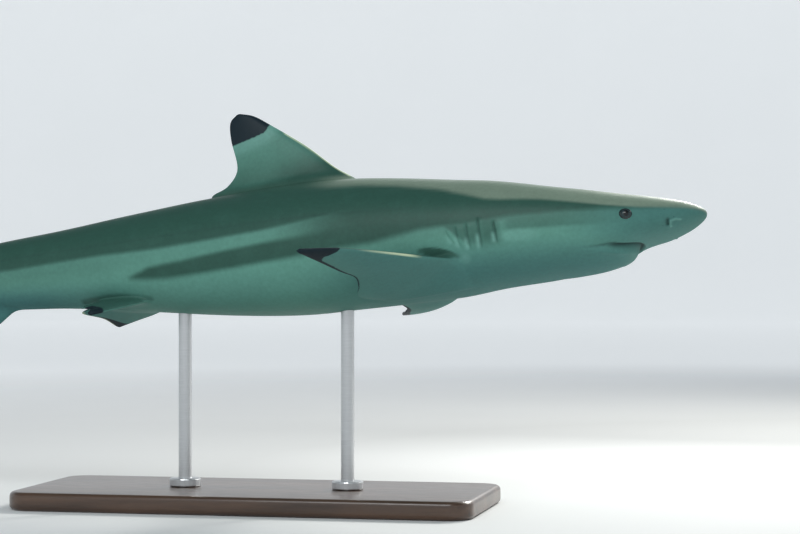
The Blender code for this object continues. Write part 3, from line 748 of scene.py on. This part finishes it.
# black tips, as a distance past the edge of the black
black = np.full(len(points), -1.0)
first = (station > 33) & (station < 44) & (level > 8)
second = (station > 60) & (station < 73) & (level > 4)
anal = (station > 58) & (station < 72) & (level < -4)
low_lobe = (station > 77) & (level < -0.6)
for where, tip_edge, beyond in ((first, FIRST_TIP_EDGE, 1.0), (second, SECOND_TIP_EDGE, 1.0),
                                (anal, ANAL_TIP_EDGE, -1.0), (low_lobe, TAIL_TIP_EDGE, -1.0)):
    black[where] = past_edge(middle_plane[where], tip_edge, beyond)
rear_tail = (station > 83.5) & (level > -2.0)
rear_margin = strip_along(middle_plane[rear_tail], TAIL[1], read_off(TAIL_MARGIN, level[rear_tail]))
black[rear_tail] = np.maximum(black[rear_tail], rear_margin)

wing = (station > 22) & (station < 33) & (apart > 5)
near_wing = near_flank[wing]
wing_flat = np.column_stack((station - PECTORAL_ROOT[0], apart - PECTORAL_ROOT[1]))[wing]
outwards = wing_flat[:, 1]
near_margin, far_margin = (read_off(PECTORAL_MARGIN[flank], outwards) for flank in (-1, 1))
margin = np.where(near_wing, near_margin, far_margin)
shift = np.where(near_wing, PECTORAL_TIP_SHIFT[-1], PECTORAL_TIP_SHIFT[1])
tip_flat = np.column_stack((wing_flat[:, 0], outwards - shift))
black[wing] = np.maximum(past_edge(tip_flat, PECTORAL_TIP_EDGE),
                         strip_along(wing_flat, PECTORAL[1], margin))

sweep = np.where(near_flank, PELVIC_SWEEP[-1], PELVIC_SWEEP[1])
pelvic_flat = np.column_stack(((station - PELVIC_ROOT[0]) / sweep, apart - PELVIC_ROOT[1]))
pelvic_tip = (station > 49) & (station < 57) & (apart > 3.3) & (clear > 0.2)
black[pelvic_tip] = (past_edge(pelvic_flat[pelvic_tip], PELVIC_TIP_EDGE)
                     + PELVIC_TIP_GAIN * (side[pelvic_tip] > 0))
pale = np.maximum(pale, 0.50 * rising(black, -1.5, 1.2) * first)

# bright rims: painted highlights along thin fin edges
rim = np.zeros(len(points))
leading = strip_along(wing_flat, PECTORAL[0], PECTORAL_HIGHLIGHT) / PECTORAL_HIGHLIGHT
rim[wing] = (smooth_step(leading * 1.8) * rising(outwards, 3.4, 1.5) * falling(outwards, 10.0, 2.0)
             * (1 - 0.6 * rising(outwards, 5, 4)))
pelvic_edge = (station > 51) & (station < 56.2) & (apart > 2.4) & (clear > 0.12) & (level < -3.2)
pelvic_highlight = smooth_step(strip_along(pelvic_flat, PELVIC[1], PELVIC_HIGHLIGHT) / 0.12)
rim = np.maximum(rim, 0.75 * pelvic_edge * (side > 0) * pelvic_highlight)
crest = (station > 30) & (station < 36) & (clear > 0.4)
crest_highlight = smooth_step(strip_along(middle_plane, FIRST_DORSAL[0], CREST_HIGHLIGHT) / 0.08)
rim = np.maximum(rim, 0.8 * crest * crest_highlight)

# painted shade on the underside, the crown's olive-brown top with painted light from above, and the
# lateral line
under = falling(level, read_off(UNDER_TOP, station), read_off(UNDER_RUN, station))
under *= read_off(UNDER_SHADE, station)
under = np.maximum(under, CHIN_SHADE * falling(station, 14.0, 10.0))
crown = above(CROWN_LOW, CROWN_SOFTNESS)
crown *= (1 - on_fin) * (1 - CROWN_FADE * rising(station, CROWN_FADE_START, CROWN_FADE_RUN))
line = bell(level - read_off(LATERAL_LINE, station), LINE_WIDTH) * (1 - on_fin)
line *= rising(station, 22.5, 1.5) * falling(station, 80.0, 4.0)
crease = np.maximum(crease, LINE_SHADE * line)

for name, values in (("dark", dark), ("black", np.clip(black, -1, 1)), ("pale", pale), ("crease", crease),
                     ("crown", crown), ("fin", on_fin), ("rim", rim), ("under", under),
                     ("straight", points)):
    paint(skin_mesh, name, values)

# -------- pose
# The straight shark is bent, banked and tipped up a little above its stand, and the
# skin then stands for every flesh node of the frame.
PITCH = math.radians(4.8)
ROLL = math.radians(12.0)
BEND_START = 48.0
BEND_REACH = 6.5
BALANCE_STATION = 38.5
AXIS_HEIGHT = 0.3050
TURNED = np.array(Matrix.Rotation(-PITCH, 3, "Y") @ Matrix.Rotation(-ROLL, 3, "X"))


def posed(points):
    """Points of the straight shark, in percent, carried into the room, in metres."""
    past = np.maximum(points[:, 0] - BEND_START, 0.0) / (100.0 - BEND_START)
    slope = 2 * BEND_REACH * past / (100.0 - BEND_START)
    length = np.hypot(1.0, slope)
    along = BALANCE_STATION - points[:, 0] + points[:, 1] * slope / length
    across = BEND_REACH * past ** 2 + points[:, 1] / length
    carried = np.column_stack((along, across, points[:, 2])) * PERCENT @ TURNED.T
    return carried + (0.0, 0.0, AXIS_HEIGHT)


skin_mesh.vertices.foreach_set("co", posed(points).ravel())
skin_mesh.update()
skin_mesh.flip_normals()
skin_mesh.shade_smooth()
for face in skin_mesh.polygons:
    face.material_index = 0


def new_material(name):
    """Material, tree and shader; the functions below build in the tree and shader made last."""
    made = bpy.data.materials.new(name)
    made.use_nodes = True
    return made, made.node_tree, made.node_tree.nodes["Principled BSDF"]


def plug(socket, value):
    """Feeds an input with a value or with another node's output."""
    if isinstance(value, bpy.types.NodeSocket):
        tree.links.new(value, socket)
    else:
        socket.default_value = value


def feed(name, value):
    plug(shader.inputs[name], value)


def node(kind, **settings):
    """New node; a setting is an input's name or one of the node's own properties."""
    made = tree.nodes.new("ShaderNode" + kind)
    for key, value in settings.items():
        if key in made.inputs:
            plug(made.inputs[key], value)
        else:
            setattr(made, key, value)
    return made


def sums(operation, first, second=0.0, third=0.0, clamp=False):
    """Math node on sockets or numbers."""
    made = node("Math", operation=operation, use_clamp=clamp)
    for socket, value in zip(made.inputs, (first, second, third)):
        plug(socket, value)
    return made.outputs[0]


def ramp(first, second, rate):
    """What the first is above the second, times a rate, held between 0 and 1."""
    return sums("MULTIPLY", sums("SUBTRACT", first, second), rate, clamp=True)


def length_of(across, along):
    squares = [sums("MULTIPLY", way, way) for way in (across, along)]
    return sums("SQRT", sums("ADD", *squares))


def blend(share, first, second, kind="MIX"):
    """Mix node on colours; share, first and second are sockets or values."""
    made = node("Mix", data_type="RGBA", blend_type=kind)
    for slot, value in ((0, share), (6, first), (7, second)):
        plug(made.inputs[slot], value)
    return made.outputs[2]


def painted(name, strength=1.0):
    """Amount of a layer painted on the skin's points, times a strength."""
    return sums("MULTIPLY", node("Attribute", attribute_name=name).outputs["Fac"], strength)


def noise(place, scale, detail, roughness=0.5):
    made = node("TexNoise", Vector=place, Scale=scale, Detail=detail, Roughness=roughness)
    return made.outputs["Fac"]


def bump(height, strength, distance, **under):
    return node("Bump", Height=height, Strength=strength, Distance=distance, **under).outputs[0]


BACK = (0.024, 0.080, 0.060, 1.0)
# Crown colour: the species' olive-brown top, lightened by painted light
CROWN = (0.182, 0.250, 0.190, 1.0)
BELLY = (0.106, 0.280, 0.222, 1.0)
# Colour of the painted shade on the underside
UNDER_SHADE_COLOUR = (0.052, 0.158, 0.152, 1.0)
PALE = (0.190, 0.410, 0.355, 1.0)
# Painted highlight colour of the bright fin rims
RIM_HIGHLIGHT = (0.620, 0.720, 0.480, 1.0)
BLACK = (0.004, 0.014, 0.021, 1.0)
# Colour of the painted shade in grooves and openings, also of the snout's pores and the lateral line
CREASE = (0.018, 0.036, 0.036, 1.0)
UNDER_STRENGTH = 0.80
PALE_STRENGTH = 0.80
RIM_HIGHLIGHT_STRENGTH = 0.85
CREASE_STRENGTH = 0.88
UNEVENNESS = 0.22
# Share of the noise, and the level it starts from
MEDIUM_MOTTLE = (0.30, 0.85)
FINE_MOTTLE = (0.16, 0.92)
SATIN = (0.14, 0.40)
SATIN_UNDER = 0.30
SATIN_CROWN = -0.16
BLACK_WAVER = 0.18
BLACK_SHARPNESS = 9.0
# Pores of the snout's sense organs: how dense, how large, how dark, and how far back
PORE_SCALE = 2.1
PORE_SIZE = 0.115
PORE_SHADE = 0.42
PORE_END = 6.2
SCALE_STRETCH = (11.0, 15.0, 15.0)
RAY_STRETCH = (7.0, 0.35, 0.35)

skin_look, tree, shader = new_material("shark_skin")
straight = node("Attribute", attribute_name="straight").outputs["Vector"]
coarse = noise(straight, 0.55, 3.0)
medium = noise(straight, 3.2, 4.0)
fine = noise(straight, 22.0, 2.0)
uneven = sums("MULTIPLY", sums("SUBTRACT", coarse, 0.5), UNEVENNESS)
dark_share = sums("ADD", painted("dark"), uneven, clamp=True)
# painted shade on the underside
belly = blend(painted("under", UNDER_STRENGTH), BELLY, UNDER_SHADE_COLOUR)
colour = blend(dark_share, belly, BACK)
# crown: olive-brown top with painted light from above
crown_share = sums("MULTIPLY", painted("crown"), dark_share)
colour = blend(crown_share, colour, CROWN)
colour = blend(painted("pale", PALE_STRENGTH), colour, PALE)
mottle = sums("MULTIPLY", sums("MULTIPLY_ADD", medium, *MEDIUM_MOTTLE),
              sums("MULTIPLY_ADD", fine, *FINE_MOTTLE))
grey = node("CombineColor", Red=mottle, Green=mottle, Blue=mottle)
colour = blend(1.0, colour, grey.outputs[0], "MULTIPLY")
waver = sums("MULTIPLY", sums("SUBTRACT", medium, 0.5), BLACK_WAVER)
edge = sums("ADD", painted("black"), waver)
black_share = sums("MULTIPLY_ADD", edge, BLACK_SHARPNESS, 0.5, clamp=True)
colour = blend(black_share, colour, BLACK)
# painted highlight on the bright fin rims
colour = blend(painted("rim", RIM_HIGHLIGHT_STRENGTH), colour, RIM_HIGHLIGHT)
from_nose = node("SeparateXYZ", Vector=straight).outputs[0]
off_crown = sums("SUBTRACT", 1.0, painted("crown"))
near_nose = sums("MULTIPLY", ramp(PORE_END, from_nose, 0.5), off_crown, clamp=True)
spots = node("TexVoronoi", Vector=straight, Scale=PORE_SCALE)
pores = ramp(PORE_SIZE, spots.outputs["Distance"], 40.0)
pores = sums("MULTIPLY", sums("MULTIPLY", pores, near_nose), PORE_SHADE)
colour = blend(pores, colour, CREASE)
# painted shade in the grooves and openings
colour = blend(painted("crease", CREASE_STRENGTH), colour, CREASE)
feed("Base Color", colour)
satin = sums("MULTIPLY_ADD", medium, *SATIN)
satin = sums("MULTIPLY_ADD", painted("under"), SATIN_UNDER, satin)
satin = sums("MULTIPLY_ADD", painted("crown"), SATIN_CROWN, satin)
feed("Roughness", satin)
shader.inputs["Specular IOR Level"].default_value = 0.23

# relief too small for the mesh: soft unevenness, the rays of the fins and the tooth-like scales
ray_place = node("Mapping", Vector=straight, Scale=RAY_STRETCH).outputs[0]
rays = sums("MULTIPLY", noise(ray_place, 1.0, 2.0), painted("fin"))
scale_place = node("Mapping", Vector=straight, Scale=SCALE_STRETCH).outputs[0]
scales = node("TexVoronoi", Vector=scale_place, Scale=1.0).outputs["Distance"]
swell = bump(coarse, 0.25, 0.0015)
ribs = bump(rays, 0.22, 0.0008, Normal=swell)
shagreen = bump(scales, 0.10, 0.0005, Normal=ribs)
feed("Normal", shagreen)
skin_mesh.materials.clear()
skin_mesh.materials.append(skin_look)
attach(skin, "root")
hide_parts("head", "lower_jaw", "gill_region", "trunk_front", "trunk_rear", "tail_stem",
            "first_dorsal_fin", "second_dorsal_fin", "anal_fin", "pectoral_fin_left",
            "pectoral_fin_right", "pelvic_fin_left", "pelvic_fin_right", "caudal_upper_lobe",
            "caudal_lower_lobe")

# -------- eyes
# Glass eyes set into the sockets: a dark upright pupil in a grey green iris under a
# clear gloss, darker towards the lids.
EYE_TURN = 0.26
# Half lengths ahead, outwards and up
EYE_SIZES = (0.60, 0.50, 0.49)
PUPIL_SIZES = (0.34, 0.52)
IRIS_SIZE = 0.66
PUPIL = (0.004, 0.005, 0.006, 1.0)
IRIS_DARK = (0.005, 0.015, 0.018, 1.0)
IRIS_LIGHT = (0.020, 0.042, 0.046, 1.0)
EYE_RIM = (0.012, 0.016, 0.016, 1.0)
eye_look, tree, shader = new_material("glass_eye")
gaze = node("Attribute", attribute_name="gaze").outputs["Vector"]
parts = node("SeparateXYZ", Vector=gaze).outputs
slit = length_of(sums("DIVIDE", parts[0], PUPIL_SIZES[0]), sums("DIVIDE", parts[2], PUPIL_SIZES[1]))
iris = blend(noise(gaze, 9.0, 3.0), IRIS_DARK, IRIS_LIGHT)
iris = blend(ramp(length_of(parts[0], parts[2]), IRIS_SIZE, 5.0), iris, EYE_RIM)
iris = blend(ramp(1.06, slit, 9.0), iris, PUPIL)
feed("Base Color", iris)
shader.inputs["Roughness"].default_value = 0.22
shader.inputs["Specular IOR Level"].default_value = 0.35
shader.inputs["Coat Weight"].default_value = 0.18
shader.inputs["Coat Roughness"].default_value = 0.08
turned = math.hypot(1.0, EYE_TURN)
eye_axes = np.array(((-1.0, -EYE_TURN, 0.0), (-EYE_TURN, 1.0, 0.0), (0.0, 0.0, turned))) / turned


def face_outwards(mesh):
    bm = bmesh.new()
    bm.from_mesh(mesh)
    bmesh.ops.recalc_face_normals(bm, faces=bm.faces)
    bm.to_mesh(mesh)
    bm.free()


for word, flank in (("left", 1), ("right", -1)):
    bpy.ops.mesh.primitive_uv_sphere_add(segments=64, ring_count=40, radius=1.0)
    eye = bpy.context.active_object
    eye.name = eye.data.name = "glass_eye_" + word
    unit = vertex_rows(eye.data, "co")
    paint(eye.data, "gaze", unit)
    made = EYE + unit * EYE_SIZES @ eye_axes
    made[:, 1] *= flank
    eye.data.vertices.foreach_set("co", posed(made).ravel())
    face_outwards(eye.data)
    eye.data.shade_smooth()
    eye.data.materials.append(eye_look)
    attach(eye, "root")
    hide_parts("eye_" + word)

# -------- stand
# A plain display stand: a lacquered hardwood board, two brushed steel rods and the
# turned steel collars that hold them in the board.
WOOD_DARK = (0.038, 0.019, 0.011, 1.0)
WOOD_LIGHT = (0.115, 0.060, 0.034, 1.0)
WOOD_PORE = (0.020, 0.010, 0.006, 1.0)
WOOD_STRETCH = (3.0, 38.0, 38.0)
STEEL_DARK = (0.46, 0.47, 0.48, 1.0)
STEEL_LIGHT = (0.66, 0.67, 0.68, 1.0)
STEEL_STRETCH = (60.0, 60.0, 2200.0)
BOARD_CORNER = 0.030
BOARD_EDGE = 0.006


def object_place():
    return node("TexCoord").outputs["Object"]


wood_look, tree, shader = new_material("stand_wood")
stretch = node("Mapping", Vector=object_place(), Scale=WOOD_STRETCH).outputs[0]
grain = noise(stretch, 1.6, 8.0, 0.62)
pores = noise(stretch, 14.0, 3.0, 0.6)
streak = sums("MULTIPLY_ADD", sums("SUBTRACT", grain, 0.5), 2.6, 0.5, clamp=True)
wood = blend(streak, WOOD_DARK, WOOD_LIGHT)
wood = blend(sums("MULTIPLY", pores, 0.35), wood, WOOD_PORE)
feed("Base Color", wood)
feed("Roughness", sums("MULTIPLY_ADD", pores, 0.20, 0.24))
feed("Normal", bump(pores, 0.18, 0.0004))
shader.inputs["Coat Weight"].default_value = 0.35
shader.inputs["Coat Roughness"].default_value = 0.18

low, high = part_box("stand_base")
size = [high[i] - low[i] for i in range(3)]
centre = [(low[i] + high[i]) / 2 for i in range(3)]
bpy.ops.mesh.primitive_cube_add(size=1.0)
board = bpy.context.active_object
board.name = board.data.name = "stand_board"
board.data.transform(Matrix.Translation(centre) @ Matrix.Diagonal((*size, 1.0)))
bm = bmesh.new()
bm.from_mesh(board.data)
upright = [e for e in bm.edges if abs(e.verts[0].co.z - e.verts[1].co.z) > size[2] / 2]
bmesh.ops.bevel(bm, geom=upright, offset=BOARD_CORNER, segments=14, affect="EDGES", profile=0.5)
level_edges = [e for e in bm.edges if abs(e.verts[0].co.z - e.verts[1].co.z) < 1e-5]
rims = [e for e in level_edges if e.calc_face_angle(0) > 1.0]
bmesh.ops.bevel(bm, geom=rims, offset=BOARD_EDGE, segments=5, affect="EDGES", profile=0.5)
bm.to_mesh(board.data)
bm.free()
bpy.ops.object.shade_smooth_by_angle(angle=math.radians(30))
board.data.materials.append(wood_look)
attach(board, "root")
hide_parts("stand_base")

steel_look, tree, shader = new_material("stand_steel")
stretch = node("Mapping", Vector=object_place(), Scale=STEEL_STRETCH).outputs[0]
brushed = noise(stretch, 1.0, 4.0, 0.6)
feed("Base Color", blend(brushed, STEEL_DARK, STEEL_LIGHT))
feed("Roughness", sums("MULTIPLY_ADD", brushed, 0.16, 0.24))
feed("Normal", bump(brushed, 0.08, 0.0001))
shader.inputs["Metallic"].default_value = 1.0
for word in ("front", "rear"):
    for kind in ("rod", "collar"):
        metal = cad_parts["stand_%s_%s" % (kind, word)]
        metal.data.materials.clear()
        metal.data.materials.append(steel_look)

# -------- room
# A pale seamless floor that curves up into a softly lit wall all round, lamps overhead
# and the camera.
FLOOR_RADIUS = 9.0
CURVE_RADIUS = 2.4
CURVE_STEPS = 16
WALL_TOP = 6.5
FLOOR_DARK = (0.60, 0.61, 0.61, 1.0)
FLOOR_LIGHT = (0.64, 0.65, 0.65, 1.0)
# The floor glows outside a pool round this spot, as a far floor under its own lamps would
LIGHT_POOL = (1.0, 0.6)
GLOW_START = 1.20
GLOW_RUN = 2.5
GLOW_CURVE = 0.8
GLOW = 0.46
GLOW_COLOUR = (0.93, 0.97, 1.0, 1.0)
AMBIENT_COLOUR = (0.80, 0.90, 1.0, 1.0)
AMBIENT = 0.22
bpy.ops.mesh.primitive_circle_add(vertices=128, radius=FLOOR_RADIUS, fill_type="NGON")
floor = bpy.context.active_object
floor.name = floor.data.name = "floor"
bm = bmesh.new()
bm.from_mesh(floor.data)
rim_edges = list(bm.edges)
radius = FLOOR_RADIUS
turned = [math.radians(90 * k / CURVE_STEPS) for k in range(1, CURVE_STEPS + 1)]
profile = [(FLOOR_RADIUS + CURVE_RADIUS * math.sin(a), CURVE_RADIUS * (1 - math.cos(a))) for a in turned]
for new_radius, height in profile + [(FLOOR_RADIUS + CURVE_RADIUS, WALL_TOP)]:
    grown = bmesh.ops.extrude_edge_only(bm, edges=rim_edges)["geom"]
    for v in (g for g in grown if isinstance(g, bmesh.types.BMVert)):
        v.co.x *= new_radius / radius
        v.co.y *= new_radius / radius
        v.co.z = height
    radius = new_radius
    rim_edges = [g for g in grown if isinstance(g, bmesh.types.BMEdge)]
bmesh.ops.recalc_face_normals(bm, faces=bm.faces)
bm.to_mesh(floor.data)
bm.free()
floor.data.shade_smooth()
floor_look, tree, shader = new_material("pale_floor")
place = object_place()
paper = noise(place, 2.5, 3.0)
feed("Base Color", blend(paper, FLOOR_DARK, FLOOR_LIGHT))
shader.inputs["Roughness"].default_value = 0.85
shader.inputs["Emission Color"].default_value = GLOW_COLOUR
parts = node("SeparateXYZ", Vector=place).outputs
from_pool = length_of(*[sums("SUBTRACT", parts[k], LIGHT_POOL[k]) for k in (0, 1)])
glow = sums("POWER", ramp(from_pool, GLOW_START, 1.0 / GLOW_RUN), GLOW_CURVE)
feed("Emission Strength", sums("MULTIPLY", glow, GLOW))
floor.data.materials.append(floor_look)

# Name, spot, aim, width, depth, watts and colour of each lamp
LAMPS = (("top", (1.3, 1.6, 1.5), (0.3, 0.0, 0.3), 1.6, 0.5, 44.0, (1.0, 0.98, 0.92)),
         ("front", (0.1, -2.3, 2.1), (0.0, 0.0, 0.25), 1.8, 1.0, 38.0, (0.95, 0.99, 1.0)),
         ("snout", (0.56, 0.85, 0.70), (0.42, 0.0, 0.33), 0.11, 0.12, 8.0, (1.0, 0.99, 0.96)))
for name, spot, aim, wide, deep, power, tint in LAMPS:
    lamp = bpy.data.lights.new(name + "_lamp", "AREA")
    lamp.shape = "RECTANGLE"
    lamp.size, lamp.size_y, lamp.energy, lamp.color = wide, deep, power, tint
    holder = bpy.data.objects.new(name + "_lamp", lamp)
    holder.location = spot
    holder.rotation_euler = (Vector(aim) - Vector(spot)).to_track_quat("-Z", "Y").to_euler()
    holder.visible_camera = False
    scene.collection.objects.link(holder)

world = bpy.data.worlds.new("room")
world.use_nodes = True
background = world.node_tree.nodes["Background"]
background.inputs["Color"].default_value = AMBIENT_COLOUR
background.inputs["Strength"].default_value = AMBIENT
scene.world = world

VIEW_ANGLE = math.radians(12.0)
CAMERA_SPOT = (0.7357, -2.6410, 0.2877)
FOCAL_LENGTH = 102.24
lens = bpy.data.cameras.new("camera")
lens.sensor_width = 36.0
lens.lens = FOCAL_LENGTH
camera = bpy.data.objects.new("camera", lens)
camera.location = CAMERA_SPOT
camera.rotation_euler = (math.radians(90.0), 0.0, VIEW_ANGLE)
scene.collection.objects.link(camera)
scene.camera = camera
scene.view_settings.view_transform = "Standard"
